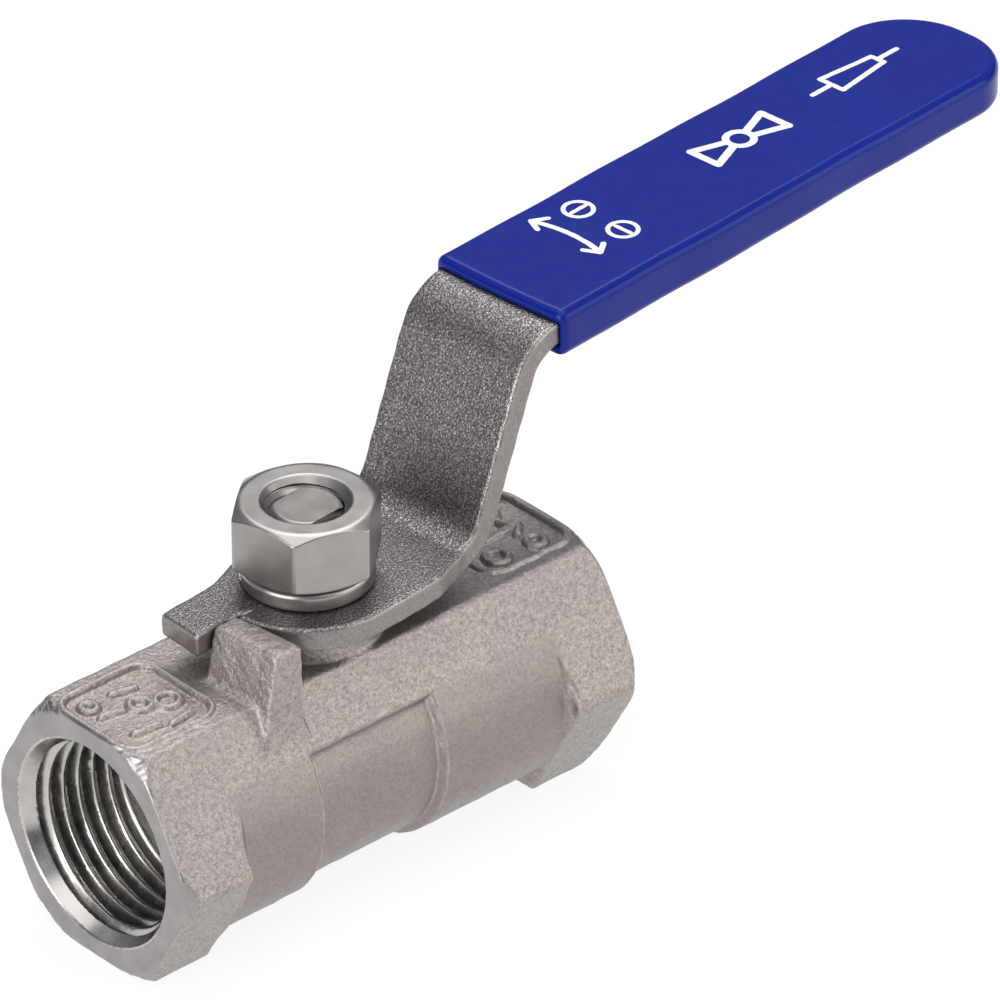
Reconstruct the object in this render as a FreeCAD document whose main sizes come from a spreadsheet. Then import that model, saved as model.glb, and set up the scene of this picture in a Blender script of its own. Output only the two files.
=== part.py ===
"""Half-inch reduced-port ball valve with a one-piece hexagonal cast body.

Frame: millimetres, +Z up.  The origin is the centre of the ball, where the flow
axis (X) crosses the stem axis (Z).  The valve is drawn open: the lever's grip
points along +X, and the inlet mouth is at -X.
"""

import FreeCAD, Part
import math
import os

import Sketcher

V = FreeCAD.Vector
doc = FreeCAD.newDocument("ball_valve")

# ---------------------------------------------------------------- dimensions
DIMENSIONS = {
    # cast body
    "inlet_reach": 26.9,
    "outlet_reach": 29.6,
    "hex_flats": 25.1,
    "hex_length": 7.9,
    "face_radius": 13.05,
    "corner_setback": 1.24,
    "waist_radius": 11.7,
    "waist_start": -9.0,
    "waist_end": 6.2,
    "boss_radius": 8.0,
    "boss_top": 14.95,
    # cast stop that the lever turns against
    "stop_front": -12.2,
    "stop_back": -8.6,
    "stop_left": -0.85,
    "stop_right": -8.9,
    "stop_top": 18.2,
    "stop_hollow_radius": 9.5,
    # pipe thread, G 1/2
    "pipe_minor_radius": 9.32,
    "mouth_radius": 10.58,
    "mouth_length": 2.0,
    "inlet_floor": 14.2,
    "outlet_floor": 15.8,
    # ball, seats and the threaded retainer behind the outlet seat
    "port_radius": 4.6,
    "ball_radius": 8.0,
    "ball_slot_width": 3.8,
    "ball_slot_floor": 5.4,
    "chamber_radius": 8.35,
    "seat_radius": 8.3,
    "seat_front": 5.4,
    "seat_back": 8.5,
    "seat_clearance": 0.12,
    "gasket_start": 9.3,
    "gasket_end": 10.1,
    "retainer_radius": 9.0,
    "retainer_end": 15.2,
    "retainer_key_flats": 11.0,
    "retainer_key_depth": 3.6,
    "retainer_pitch": 1.0,
    # stem and its sealing
    "stem_radius": 4.0,
    "running_clearance": 0.06,
    "shoulder_radius": 5.3,
    "shoulder_bottom": 8.6,
    "shoulder_top": 9.4,
    "thrust_top": 10.15,
    "tang_bottom": 5.6,
    "tang_thickness": 3.0,
    "tang_width": 6.8,
    "packing_radius": 6.0,
    "packing_bottom": 11.2,
    "packing_ring_height": 1.1,
    "gland_top": 15.15,
    "stem_top": 25.75,
    "stem_flats": 6.0,
    "stem_thread_pitch": 1.25,
    # washer and nut
    "washer_radius": 6.45,
    "washer_bottom": 17.8,
    "washer_top": 19.8,
    "nut_flats": 13.0,
    "nut_bottom": 19.85,
    "nut_top": 26.35,
    "nut_face_radius": 6.1,
    "nut_turn": 40.0,
    # lever, cut from plate and bent twice
    "lever_turn": 5.0,
    "plate": 2.5,
    "lever_bottom": 15.25,
    "head_radius": 9.2,
    "head_short_radius": 7.4,
    "tab_reach": 13.75,
    "tab_left": 5.9,
    "tab_right": 0.45,
    "first_bend": 14.5,
    "bend_rise_angle": 67.5,
    "grip_plate_bottom": 34.25,
    "bend_radius": 3.5,
    "arm_root_half": 9.1,
    "arm_root_end": 6.5,
    "arm_half": 7.55,
    "grip_half": 6.6,
    "grip_start": 28.0,
    "grip_end": 91.6,
    "grip_clip": 3.8,
    # dipped vinyl sleeve
    "sleeve_start": 26.0,
    "sleeve_end": 93.2,
    "sleeve_half": 8.3,
    "sleeve_wall": 1.25,
    "sleeve_corner": 6.4,
    "sleeve_edge": 0.9,
}

sheet = doc.addObject("Spreadsheet::Sheet", "Sizes")
for row, (alias, value) in enumerate(DIMENSIONS.items(), start=1):
    sheet.set(f"A{row}", alias)
    sheet.set(f"B{row}", str(value))
    sheet.setAlias(f"B{row}", alias)
doc.recompute()

# --------------------------------------------------- expressions used often
HEX_HALF = "Sizes.hex_flats / 2"
HEX_CORNER = "Sizes.hex_flats / sqrt(3)"
FACE_SLOPE = "(Sizes.hex_flats / sqrt(3) - Sizes.face_radius) / Sizes.corner_setback"
SHAFT_BORE = "Sizes.stem_radius + Sizes.running_clearance"
LEVER_TOP = "Sizes.lever_bottom + Sizes.plate"
BEND_SHIFT = "Sizes.plate * tan(Sizes.bend_rise_angle * 0.5 deg)"
BEND_RUN = (
    "(Sizes.grip_plate_bottom - Sizes.lever_bottom)"
    " / tan(Sizes.bend_rise_angle * 1 deg)"
)
METRIC_FLANK = math.tan(math.radians(30))
FIT_GAP = 0.05
REACH_PAST = 4.0


def value_of(expression):
    """Number that a sheet expression gives now."""
    result = sheet.evalExpression(expression)
    return float(getattr(result, "Value", result))


def bind(item, **properties):
    """Bind properties, with __ for a dot, to expressions."""
    for name, expression in properties.items():
        item.setExpression(name.replace("__", "."), str(expression))
    return item


# ------------------------------------------------------ PartDesign helpers
def new_body(name):
    body = doc.addObject("PartDesign::Body", name)
    body.Label = name
    return body


def origin_feature(body, role):
    return next(item for item in body.Origin.OriginFeatures if item.Role == role)


def new_sketch(body, name, role, offset="0"):
    sketch = body.newObject("Sketcher::SketchObject", name)
    sketch.AttachmentSupport = [(origin_feature(body, role), "")]
    sketch.MapMode = "FlatFace"
    return bind(sketch, AttachmentOffset__Base__z=offset)


def fix_point(sketch, geometry, point, across, along):
    """Pin one sketch point by expressions for its two coordinates."""
    for kind, expression in (("DistanceX", across), ("DistanceY", along)):
        constraint = Sketcher.Constraint(kind, geometry, point, value_of(expression))
        index = sketch.addConstraint(constraint)
        sketch.setExpression(f"Constraints[{index}]", str(expression))


def add_polygon(sketch, corners):
    """Closed polygon whose corners are pairs of expressions."""
    places = [V(value_of(across), value_of(along), 0) for across, along in corners]
    first = sketch.GeometryCount
    count = len(corners)
    for index in range(count):
        side = Part.LineSegment(places[index], places[(index + 1) % count])
        sketch.addGeometry(side, False)
    for index, (across, along) in enumerate(corners):
        here = first + index
        following = first + (index + 1) % count
        sketch.addConstraint(Sketcher.Constraint("Coincident", here, 2, following, 1))
        fix_point(sketch, here, 1, across, along)
    return sketch


def add_circle(sketch, radius):
    """Circle about the sketch's origin."""
    circle = Part.Circle(V(0, 0, 0), V(0, 0, 1), value_of(radius))
    index = sketch.addGeometry(circle, False)
    sketch.addConstraint(Sketcher.Constraint("Coincident", index, 3, -1, 1))
    ring = sketch.addConstraint(Sketcher.Constraint("Radius", index, value_of(radius)))
    sketch.setExpression(f"Constraints[{ring}]", str(radius))
    return sketch


def hexagon(half_flats):
    """Corners of a hexagon with two flats facing along the second axis."""
    corner = f"(({half_flats}) * 2 / sqrt(3))"
    half = f"({half_flats})"
    return [
        (corner, "0"),
        (f"{corner} / 2", half),
        (f"-{corner} / 2", half),
        (f"-{corner}", "0"),
        (f"-{corner} / 2", f"-{half}"),
        (f"{corner} / 2", f"-{half}"),
    ]


def pad(body, sketch, length, middle=False):
    feature = body.newObject("PartDesign::Pad", f"{sketch.Name}_pad")
    feature.Profile = sketch
    if middle:
        feature.SideType = "Symmetric"
    bind(feature, Length=length)
    doc.recompute()
    return feature


def removes(body, before, feature):
    """A cutting feature has to take material away."""
    doc.recompute()
    if not body.Shape.Volume < before - 1e-6:
        raise RuntimeError(f"{feature.Name} cuts nothing")
    return feature


def pocket(body, sketch, length, reverse=False):
    before = body.Shape.Volume
    feature = body.newObject("PartDesign::Pocket", f"{sketch.Name}_pocket")
    feature.Profile = sketch
    feature.Reversed = reverse
    bind(feature, Length=length)
    return removes(body, before, feature)


def turned(body, sketch, axis, cut=False):
    """Revolve a sketch fully about its own H_Axis or V_Axis."""
    before = body.Shape.Volume if cut else 0
    kind = "Groove" if cut else "Revolution"
    feature = body.newObject(f"PartDesign::{kind}", f"{sketch.Name}_{kind.lower()}")
    feature.Profile = sketch
    feature.ReferenceAxis = (sketch, [axis])
    feature.Angle = 360
    if cut:
        return removes(body, before, feature)
    doc.recompute()
    return feature


def repeat_along(body, feature, role, pitch, count):
    """Linear pattern of one feature along an origin axis."""
    before = body.Shape.Volume
    pattern = body.newObject("PartDesign::LinearPattern", f"{feature.Name}_row")
    pattern.Originals = [feature]
    pattern.Direction = (origin_feature(body, role), [""])
    pattern.Mode = "Spacing"
    bind(pattern, Offset=pitch)
    pattern.Occurrences = int(count)
    body.Tip = pattern
    return removes(body, before, pattern)


def round_edges(body, edges, radius):
    support = body.Tip
    feature = body.newObject("PartDesign::Fillet", f"{body.Name}_round")
    feature.Base = (support, edges)
    bind(feature, Radius=radius)
    doc.recompute()
    if not feature.Shape.isValid():
        raise RuntimeError(f"{feature.Name} failed")
    return feature


def edges_where(shape, test):
    """Names of the edges whose every end passes a test."""
    names = []
    for index, edge in enumerate(shape.Edges, start=1):
        if all(test(vertex.Point) for vertex in edge.Vertexes):
            names.append(f"Edge{index}")
    return names


# ------------------------------------------------------------ Part helpers
def cylinder(name, radius, height, base, axis=V(0, 0, 1)):
    """Cylinder whose base distance along its axis is an expression."""
    item = doc.addObject("Part::Cylinder", name)
    item.Placement = FreeCAD.Placement(V(0, 0, 0), FreeCAD.Rotation(V(0, 0, 1), axis))
    direction = "x" if axis.x else "z"
    bind(item, Radius=radius, Height=height)
    return bind(item, **{f"Placement__Base__{direction}": base})


def combine(kind, name, *shapes):
    item = doc.addObject(f"Part::{kind}", name)
    item.Label = name
    if kind in ("Cut", "Common"):
        item.Base, item.Tool = shapes
    else:
        item.Shapes = list(shapes)
    doc.recompute()
    return item


def box(name, lengths, base):
    """Box with expressions for its three lengths and its low corner."""
    item = doc.addObject("Part::Box", name)
    bind(item, Length=lengths[0], Width=lengths[1], Height=lengths[2])
    return bind(
        item,
        Placement__Base__x=base[0],
        Placement__Base__y=base[1],
        Placement__Base__z=base[2],
    )


def ring(name, outer, inner, start, end, axis=V(0, 0, 1)):
    """Plain ring between two stations of its axis."""
    height = f"({end}) - ({start})"
    rim = cylinder(f"{name}_rim", outer, height, start, axis)
    hole = cylinder(f"{name}_hole", inner, height, start, axis)
    return combine("Cut", name, rim, hole)


def turn_about_stem(item, angle):
    """Rotate a finished piece about the stem's axis."""
    item.Placement = FreeCAD.Placement(V(0, 0, 0), FreeCAD.Rotation(V(0, 0, 1), 1))
    return bind(item, Placement__Rotation__Angle=angle)


# -------------------------------------------------------------- cast body
def add_outside(body):
    """Barrel with a waist, hexagon ends, and the flats that run along its top."""
    inner_start = "-Sizes.inlet_reach + Sizes.hex_length"
    inner_end = "Sizes.outlet_reach - Sizes.hex_length"
    stretches = (
        ("waist", "Sizes.waist_radius", inner_start, inner_end),
        ("inlet_barrel", HEX_HALF, inner_start, "Sizes.waist_start"),
        ("outlet_barrel", HEX_HALF, "Sizes.waist_end", inner_end),
    )
    for name, radius, start, end in stretches:
        outline = add_circle(new_sketch(body, name, "YZ_Plane", start), radius)
        pad(body, outline, f"({end}) - ({start})")

    crown = new_sketch(body, "crown", "YZ_Plane", inner_start)
    tangent_y = f"({HEX_HALF}) * cos(30 deg)"
    tangent_z = f"({HEX_HALF}) * sin(30 deg)"
    corner_y = f"({HEX_CORNER}) / 2"
    add_polygon(
        crown,
        [
            (tangent_y, tangent_z),
            (corner_y, HEX_HALF),
            (f"-{corner_y}", HEX_HALF),
            (f"-{tangent_y}", tangent_z),
            ("0", "0"),
        ],
    )
    pad(body, crown, f"({inner_end}) - ({inner_start})")

    for name, start in (("inlet_hex", "-Sizes.inlet_reach"), ("outlet_hex", inner_end)):
        outline = add_polygon(new_sketch(body, name, "YZ_Plane", start), hexagon(HEX_HALF))
        pad(body, outline, "Sizes.hex_length")

    face_cuts = (("inlet_face", "-Sizes.inlet_reach", 1), ("outlet_face", "Sizes.outlet_reach", -1))
    for name, face, inward in face_cuts:
        beyond = f"Sizes.face_radius + {REACH_PAST}"
        back = f"{face} + {inward} * {REACH_PAST} / ({FACE_SLOPE})"
        corners = [(face, "Sizes.face_radius"), (face, beyond), (back, beyond)]
        cone = add_polygon(new_sketch(body, name, "XZ_Plane"), corners)
        turned(body, cone, "H_Axis", cut=True)


def add_stop(body):
    """Cast stop beside the stem, hollowed round the lever's head."""
    root_z = "Sizes.hex_flats / 3"
    outline = new_sketch(body, "stop", "XY_Plane", root_z)
    left, right = "Sizes.stop_left", "Sizes.stop_right"
    front, back = "Sizes.stop_front", "Sizes.stop_back"
    lean = f"({left} - {right}) * tan(Sizes.lever_turn * 1 deg)"
    add_polygon(
        outline, [(front, right), (back, right), (f"{back} - {lean}", left), (front, left)]
    )
    pad(body, outline, f"Sizes.stop_top - {root_z}")
    hollow = add_circle(
        new_sketch(body, "stop_hollow", "XY_Plane", HEX_HALF), "Sizes.stop_hollow_radius"
    )
    pocket(body, hollow, "Sizes.stop_top", reverse=True)


def add_boss(body):
    root_z = f"{HEX_HALF} - 1"
    outline = add_circle(new_sketch(body, "boss", "XY_Plane", root_z), "Sizes.boss_radius")
    pad(body, outline, f"Sizes.boss_top - ({root_z})")


def add_bores(body):
    """Flow passage with both mouths at thread-crest radius, and the stepped bore for the stem."""
    run_in = "(Sizes.mouth_radius - Sizes.pipe_minor_radius)"
    inlet_step = "-Sizes.inlet_reach + Sizes.mouth_length"
    outlet_step = "Sizes.outlet_reach - Sizes.mouth_length"
    minor = "Sizes.pipe_minor_radius"
    passage = [
        (f"-Sizes.inlet_reach - {REACH_PAST}", "0"),
        (f"-Sizes.inlet_reach - {REACH_PAST}", "Sizes.mouth_radius"),
        (inlet_step, "Sizes.mouth_radius"),
        (f"{inlet_step} + {run_in}", minor),
        ("-Sizes.inlet_floor", minor),
        ("-Sizes.inlet_floor", "Sizes.port_radius"),
        ("-Sizes.seat_back", "Sizes.port_radius"),
        ("-Sizes.seat_back", "Sizes.chamber_radius"),
        ("Sizes.gasket_start", "Sizes.chamber_radius"),
        ("Sizes.gasket_start", f"Sizes.retainer_radius + {FIT_GAP}"),
        ("Sizes.outlet_floor", f"Sizes.retainer_radius + {FIT_GAP}"),
        ("Sizes.outlet_floor", minor),
        (f"{outlet_step} - {run_in}", minor),
        (outlet_step, "Sizes.mouth_radius"),
        (f"Sizes.outlet_reach + {REACH_PAST}", "Sizes.mouth_radius"),
        (f"Sizes.outlet_reach + {REACH_PAST}", "0"),
    ]
    turned(body, add_polygon(new_sketch(body, "passage", "XZ_Plane"), passage), "H_Axis", cut=True)

    shoulder = f"Sizes.shoulder_radius + {2 * FIT_GAP}"
    stem_bore = [
        ("0", "Sizes.ball_slot_floor"),
        (shoulder, "Sizes.ball_slot_floor"),
        (shoulder, "Sizes.thrust_top"),
        (SHAFT_BORE, "Sizes.thrust_top"),
        (SHAFT_BORE, "Sizes.packing_bottom"),
        ("Sizes.packing_radius", "Sizes.packing_bottom"),
        ("Sizes.packing_radius", f"Sizes.boss_top + {REACH_PAST}"),
        ("0", f"Sizes.boss_top + {REACH_PAST}"),
    ]
    turned(body, add_polygon(new_sketch(body, "stem_bore", "XZ_Plane"), stem_bore), "V_Axis", cut=True)


def make_valve_body():
    body = new_body("valve_body")
    add_outside(body)
    add_stop(body)
    add_boss(body)
    add_bores(body)
    return body


# ------------------------------------------------- ball, seats and retainer
def make_ball():
    sphere = doc.addObject("Part::Sphere", "ball_sphere")
    bind(sphere, Radius="Sizes.ball_radius")
    port = cylinder(
        "ball_port", "Sizes.port_radius", "2 * Sizes.ball_radius", "-Sizes.ball_radius", V(1, 0, 0)
    )
    slot = box(
        "ball_slot",
        ("Sizes.ball_slot_width", "2 * Sizes.ball_radius", "Sizes.ball_radius"),
        ("-Sizes.ball_slot_width / 2", "-Sizes.ball_radius", "Sizes.ball_slot_floor"),
    )
    bored = combine("Cut", "ball_bored", sphere, port)
    return combine("Cut", "ball", bored, slot)


def make_seat(name, start, end):
    blank = ring(
        f"{name}_blank", "Sizes.seat_radius", f"Sizes.port_radius + {FIT_GAP}", start, end, V(1, 0, 0)
    )
    cup = doc.addObject("Part::Sphere", f"{name}_cup")
    bind(cup, Radius="Sizes.ball_radius + Sizes.seat_clearance")
    return combine("Cut", name, blank, cup)


def make_retainer():
    """Threaded ring, turned with a hexagon key, that holds the outlet seat."""
    body = new_body("seat_retainer")
    profile = [
        ("Sizes.seat_back", "Sizes.port_radius"),
        ("Sizes.seat_back", "Sizes.seat_radius"),
        ("Sizes.gasket_end", "Sizes.seat_radius"),
        ("Sizes.gasket_end", "Sizes.retainer_radius"),
        ("Sizes.retainer_end", "Sizes.retainer_radius"),
        ("Sizes.retainer_end", "Sizes.port_radius"),
    ]
    sketch = add_polygon(new_sketch(body, "retainer_profile", "XZ_Plane"), profile)
    turned(body, sketch, "H_Axis")
    key = new_sketch(body, "retainer_key", "YZ_Plane", "Sizes.retainer_end")
    add_polygon(key, hexagon("Sizes.retainer_key_flats / 2"))
    pocket(body, key, "Sizes.retainer_key_depth")

    depth = 0.5
    crest = "Sizes.retainer_radius"
    first = f"Sizes.gasket_end + {depth}"
    corners = [
        (f"{first} - {depth * METRIC_FLANK}", crest),
        (first, f"{crest} - {depth}"),
        (f"{first} + {depth * METRIC_FLANK}", crest),
    ]
    thread = add_polygon(new_sketch(body, "retainer_thread", "XZ_Plane"), corners)
    groove = turned(body, thread, "H_Axis", cut=True)
    turns = math.floor(value_of("(Sizes.retainer_end - Sizes.gasket_end) / Sizes.retainer_pitch"))
    repeat_along(body, groove, "X_Axis", "Sizes.retainer_pitch", turns)
    return body


# ----------------------------------------------------- stem and its sealing
def make_stem():
    """Stem fitted from inside, with a shoulder, a tang, two flats and a thread."""
    body = new_body("stem")
    tip = "Sizes.stem_radius - 0.5"
    profile = [
        ("0", "Sizes.shoulder_bottom"),
        ("Sizes.shoulder_radius", "Sizes.shoulder_bottom"),
        ("Sizes.shoulder_radius", "Sizes.shoulder_top"),
        ("Sizes.stem_radius", "Sizes.shoulder_top"),
        ("Sizes.stem_radius", "Sizes.stem_top - 0.5"),
        (tip, "Sizes.stem_top"),
        ("0", "Sizes.stem_top"),
    ]
    turned(body, add_polygon(new_sketch(body, "stem_profile", "XZ_Plane"), profile), "V_Axis")

    tang = new_sketch(body, "tang", "XY_Plane", "Sizes.tang_bottom")
    half_x, half_y = "Sizes.tang_thickness / 2", "Sizes.tang_width / 2"
    add_polygon(
        tang,
        [(half_x, half_y), (f"-{half_x}", half_y), (f"-{half_x}", f"-{half_y}"), (half_x, f"-{half_y}")],
    )
    pad(body, tang, "Sizes.shoulder_bottom - Sizes.tang_bottom + 0.2")

    beyond = "Sizes.stem_radius + 1"
    for name, side in (("left_flat", 1), ("right_flat", -1)):
        flat = new_sketch(body, name, "XY_Plane", f"Sizes.stem_top + {FIT_GAP}")
        near, away = f"{side} * Sizes.stem_flats / 2", f"{side} * ({beyond})"
        add_polygon(
            flat,
            [(beyond, near), (f"-({beyond})", near), (f"-({beyond})", away), (beyond, away)],
        )
        pocket(body, flat, f"Sizes.stem_top + {2 * FIT_GAP} - Sizes.gland_top")

    depth = 0.6
    crest = "Sizes.stem_radius"
    first = f"{LEVER_TOP} + {depth}"
    corners = [
        (crest, f"{first} - {depth * METRIC_FLANK}"),
        (f"{crest} - {depth}", first),
        (crest, f"{first} + {depth * METRIC_FLANK}"),
    ]
    thread = add_polygon(new_sketch(body, "stem_thread", "XZ_Plane"), corners)
    groove = turned(body, thread, "V_Axis", cut=True)
    span = f"(Sizes.stem_top - 0.5 - ({LEVER_TOP})) / Sizes.stem_thread_pitch"
    repeat_along(body, groove, "Z_Axis", "Sizes.stem_thread_pitch", math.floor(value_of(span)))
    return turn_about_stem(body, "Sizes.lever_turn")


def make_stem_seals():
    """Thrust washer under the bore, two packing rings and the gland above them."""
    fit = f"Sizes.packing_radius - {FIT_GAP}"
    middle = "Sizes.packing_bottom + Sizes.packing_ring_height"
    top = "Sizes.packing_bottom + 2 * Sizes.packing_ring_height"
    thrust_bottom = f"Sizes.shoulder_top + {FIT_GAP}"
    return [
        ring("thrust_washer", "Sizes.shoulder_radius", SHAFT_BORE, thrust_bottom, "Sizes.thrust_top"),
        ring("packing_ring_lower", fit, SHAFT_BORE, "Sizes.packing_bottom", middle),
        ring("packing_ring_upper", fit, SHAFT_BORE, middle, top),
        ring("packing_gland", fit, SHAFT_BORE, top, "Sizes.gland_top"),
    ]


# --------------------------------------------------- lever and its fasteners
def make_lever():
    """Plate profile bent twice, trimmed to the outline seen from above."""
    strip = new_body("lever_strip")
    grip_top = "Sizes.grip_plate_bottom + Sizes.plate"
    inner_low = "Sizes.first_bend"
    outer_low = f"Sizes.first_bend + {BEND_SHIFT}"
    outer_high = f"Sizes.first_bend + {BEND_RUN}"
    inner_high = f"{outer_high} + {BEND_SHIFT}"
    profile = [
        ("-Sizes.tab_reach", "Sizes.lever_bottom"),
        (outer_low, "Sizes.lever_bottom"),
        (inner_high, "Sizes.grip_plate_bottom"),
        ("Sizes.grip_end", "Sizes.grip_plate_bottom"),
        ("Sizes.grip_end", grip_top),
        (outer_high, grip_top),
        (inner_low, LEVER_TOP),
        ("-Sizes.tab_reach", LEVER_TOP),
    ]
    sketch = add_polygon(new_sketch(strip, "lever_side", "XZ_Plane"), profile)
    pad(strip, sketch, "2 * Sizes.head_radius + 2", middle=True)
    corners = (
        (inner_low, LEVER_TOP, "Sizes.bend_radius"),
        (inner_high, "Sizes.grip_plate_bottom", "Sizes.bend_radius"),
        (outer_low, "Sizes.lever_bottom", "Sizes.bend_radius + Sizes.plate"),
        (outer_high, grip_top, "Sizes.bend_radius + Sizes.plate"),
    )
    for along, height, radius in corners:
        x, z = value_of(along), value_of(height)
        edges = edges_where(strip.Shape, lambda p: math.hypot(p.x - x, p.z - z) < 0.01)
        round_edges(strip, edges, radius)

    outline = new_body("lever_outline")
    plan = [
        ("0", "-Sizes.arm_root_half"),
        ("Sizes.arm_root_end", "-Sizes.arm_root_half"),
        ("Sizes.first_bend", "-Sizes.arm_half"),
        (outer_high, "-Sizes.arm_half"),
        ("Sizes.grip_start", "-Sizes.grip_half"),
        ("Sizes.grip_end - Sizes.grip_clip", "-Sizes.grip_half"),
        ("Sizes.grip_end", "-Sizes.grip_half + Sizes.grip_clip"),
        ("Sizes.grip_end", "Sizes.grip_half - Sizes.grip_clip"),
        ("Sizes.grip_end - Sizes.grip_clip", "Sizes.grip_half"),
        ("Sizes.grip_start", "Sizes.grip_half"),
        (outer_high, "Sizes.arm_half"),
        ("Sizes.first_bend", "Sizes.arm_half"),
        ("0", "Sizes.head_short_radius"),
    ]
    sketch = add_polygon(new_sketch(outline, "lever_plan", "XY_Plane"), plan)
    full_height = "Sizes.grip_plate_bottom + 2 * Sizes.plate"
    pad(outline, sketch, full_height)

    tab = box(
        "lever_tab",
        ("Sizes.tab_reach", "Sizes.tab_left - Sizes.tab_right", full_height),
        ("-Sizes.tab_reach", "Sizes.tab_right", "0"),
    )
    halves = []
    sides = (("stop", "Sizes.head_radius", 180), ("free", "Sizes.head_short_radius", 0))
    for side, radius, turn in sides:
        half = cylinder(f"head_{side}_side", radius, full_height, "0")
        half.Angle = 180
        halves.append(turn_about_stem(half, turn))
    blank = combine("MultiFuse", "lever_blank", outline, tab, *halves)
    plate = combine("Common", "lever_plate", strip, blank)

    bore = cylinder("lever_bore", SHAFT_BORE, full_height, "0")
    across = f"Sizes.stem_flats + {2 * FIT_GAP}"
    flats = box(
        "lever_bore_flats",
        ("4 * Sizes.stem_radius", across, full_height),
        ("-2 * Sizes.stem_radius", f"-({across}) / 2", "0"),
    )
    hole = combine("Common", "lever_hole", bore, flats)
    return turn_about_stem(combine("Cut", "lever", plate, hole), "Sizes.lever_turn")


def make_sleeve():
    """Dipped vinyl sleeve, closed at its far end, with a slot for the plate."""
    body = new_body("lever_sleeve")
    bottom = "Sizes.grip_plate_bottom - Sizes.sleeve_wall"
    plan = new_sketch(body, "sleeve_plan", "XY_Plane", bottom)
    half, start, end = "Sizes.sleeve_half", "Sizes.sleeve_start", "Sizes.sleeve_end"
    add_polygon(plan, [(start, f"-{half}"), (end, f"-{half}"), (end, half), (start, half)])
    pad(body, plan, "Sizes.plate + 2 * Sizes.sleeve_wall")
    x_end, y_half = value_of(end), value_of(half)
    corners = edges_where(
        body.Shape, lambda p: abs(p.x - x_end) < 0.01 and abs(abs(p.y) - y_half) < 0.01
    )
    upright = [name for name in corners if abs(body.Shape.getElement(name).tangentAt(0).z) > 0.9]
    round_edges(body, upright, "Sizes.sleeve_corner")
    z_bottom = value_of(bottom)
    z_top = z_bottom + value_of("Sizes.plate + 2 * Sizes.sleeve_wall")
    x_start = value_of(start)
    rims = []
    for level in (z_bottom, z_top):
        rims += edges_where(body.Shape, lambda p: abs(p.z - level) < 0.01)
    rims = [
        name
        for name in rims
        if any(vertex.X > x_start + 0.01 for vertex in body.Shape.getElement(name).Vertexes)
    ]
    round_edges(body, rims, "Sizes.sleeve_edge")

    slot = new_sketch(body, "sleeve_slot", "YZ_Plane", "Sizes.sleeve_start")
    width = f"(Sizes.grip_half + {FIT_GAP})"
    wide = "(Sizes.arm_half - 0.35)"
    low = f"Sizes.grip_plate_bottom - {FIT_GAP}"
    high = f"Sizes.grip_plate_bottom + Sizes.plate + {FIT_GAP}"
    add_polygon(slot, [(f"-{width}", low), (width, low), (width, high), (f"-{width}", high)])
    pocket(body, slot, f"Sizes.grip_end + {FIT_GAP} - Sizes.sleeve_start", reverse=True)
    mouth = new_sketch(body, "sleeve_mouth", "YZ_Plane", "Sizes.sleeve_start")
    add_polygon(mouth, [(f"-{wide}", low), (wide, low), (wide, high), (f"-{wide}", high)])
    pocket(body, mouth, "Sizes.grip_start - Sizes.sleeve_start", reverse=True)
    return turn_about_stem(body, "Sizes.lever_turn")


def make_spring_washer():
    """Split spring washer between the lever and the nut."""
    whole = ring(
        "washer_ring", "Sizes.washer_radius", SHAFT_BORE, "Sizes.washer_bottom", "Sizes.washer_top"
    )
    split = box(
        "washer_split",
        ("2 * Sizes.washer_radius", "0.5", "Sizes.washer_top"),
        ("0", "0", "Sizes.washer_bottom - 1"),
    )
    split.Placement.Rotation = FreeCAD.Rotation(V(1, 0, 0), 25)
    washer = combine("Cut", "spring_washer", whole, split)
    return turn_about_stem(washer, "Sizes.nut_turn")


def make_nut():
    body = new_body("stem_nut")
    outline = new_sketch(body, "nut_outline", "XY_Plane", "Sizes.nut_bottom")
    add_polygon(outline, hexagon("Sizes.nut_flats / 2"))
    pad(body, outline, "Sizes.nut_top - Sizes.nut_bottom")
    beyond = f"Sizes.nut_face_radius + {REACH_PAST}"
    drop = REACH_PAST * METRIC_FLANK
    cones = (("nut_top_cone", "Sizes.nut_top", -1), ("nut_low_cone", "Sizes.nut_bottom", 1))
    for name, face, inward in cones:
        corners = [
            ("Sizes.nut_face_radius", face),
            (beyond, face),
            (beyond, f"{face} + {inward * drop}"),
        ]
        turned(body, add_polygon(new_sketch(body, name, "XZ_Plane"), corners), "V_Axis", cut=True)
    sink = "Sizes.stem_radius + 0.4"
    hole = [
        ("0", "Sizes.nut_bottom"),
        (sink, "Sizes.nut_bottom"),
        (SHAFT_BORE, "Sizes.nut_bottom + 0.4"),
        (SHAFT_BORE, "Sizes.nut_top - 0.4"),
        (sink, "Sizes.nut_top"),
        ("0", "Sizes.nut_top"),
    ]
    turned(body, add_polygon(new_sketch(body, "nut_hole", "XZ_Plane"), hole), "V_Axis", cut=True)
    return turn_about_stem(body, "Sizes.nut_turn")


# ------------------------------------------------------------------- output
def check_document():
    for item in doc.Objects:
        if "Invalid" in item.State or "Error" in item.State:
            raise RuntimeError(f"{item.Name} failed: {item.State}")


def write_parts(pieces):
    os.makedirs("parts", exist_ok=True)
    for piece in pieces:
        shape = piece.Shape
        if shape.isNull() or not shape.isValid() or not shape.Solids:
            raise RuntimeError(f"{piece.Label} has no valid solid")
        print(f"{piece.Label}: {len(shape.Solids)} solid, {shape.Volume:.1f} mm3")
    for piece in pieces:
        piece.Shape.exportStep(f"parts/{piece.Label}.step")


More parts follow.
